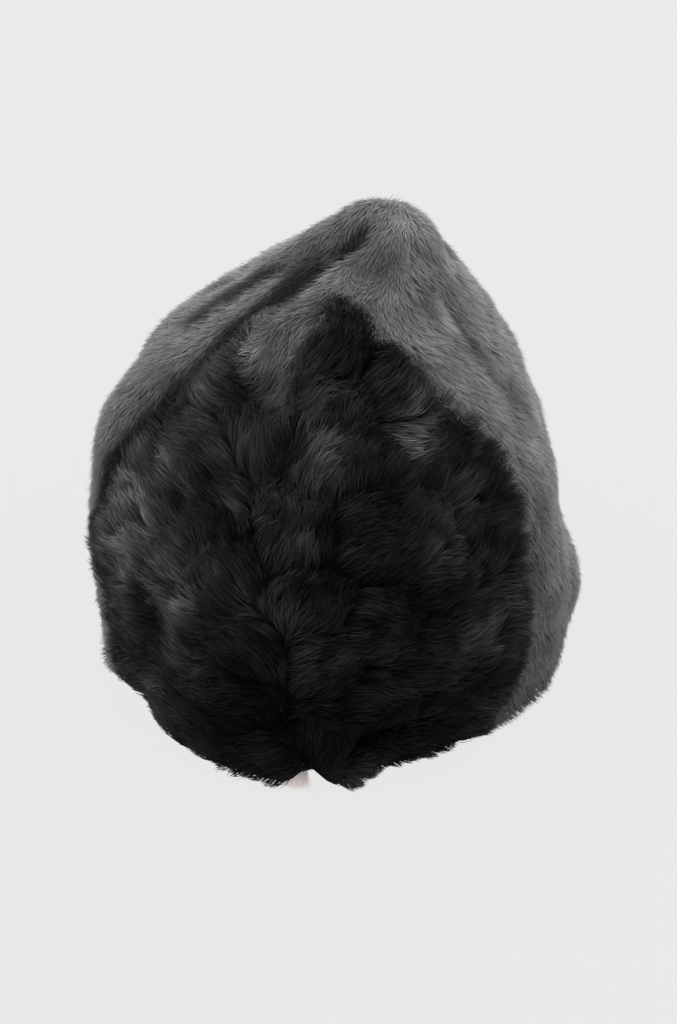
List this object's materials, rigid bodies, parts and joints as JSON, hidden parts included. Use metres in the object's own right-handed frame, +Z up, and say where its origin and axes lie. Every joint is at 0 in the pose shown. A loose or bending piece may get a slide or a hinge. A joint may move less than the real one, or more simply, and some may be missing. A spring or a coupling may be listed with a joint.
{
  "type": "fur telpek hat",
  "caption": "Tall black fur hat with a peaked, softly folded crown that leans to one side, hollow and open below for the head, parted along a front seam that ends in a notch with a pale wisp.",
  "frame": {"origin": "middle of the hat's footprint, in the plane of its rim", "axes": "+Z up to the peak, -Y towards the front seam, +X to the side that the peak leans to"},
  "size_m": [0.2502, 0.251, 0.2196],
  "materials": {
    "hide": "suede flesh side of a tanned skin",
    "fur": "short silky black fur",
    "wisp": "pale fine hair"
  },
  "bodies": {
    "root": {"left_panel_hide": "hide", "right_panel_hide": "hide", "left_panel_fur": "fur", "right_panel_fur": "fur", "seam_wisp": "wisp"}
  },
  "joints": []
}
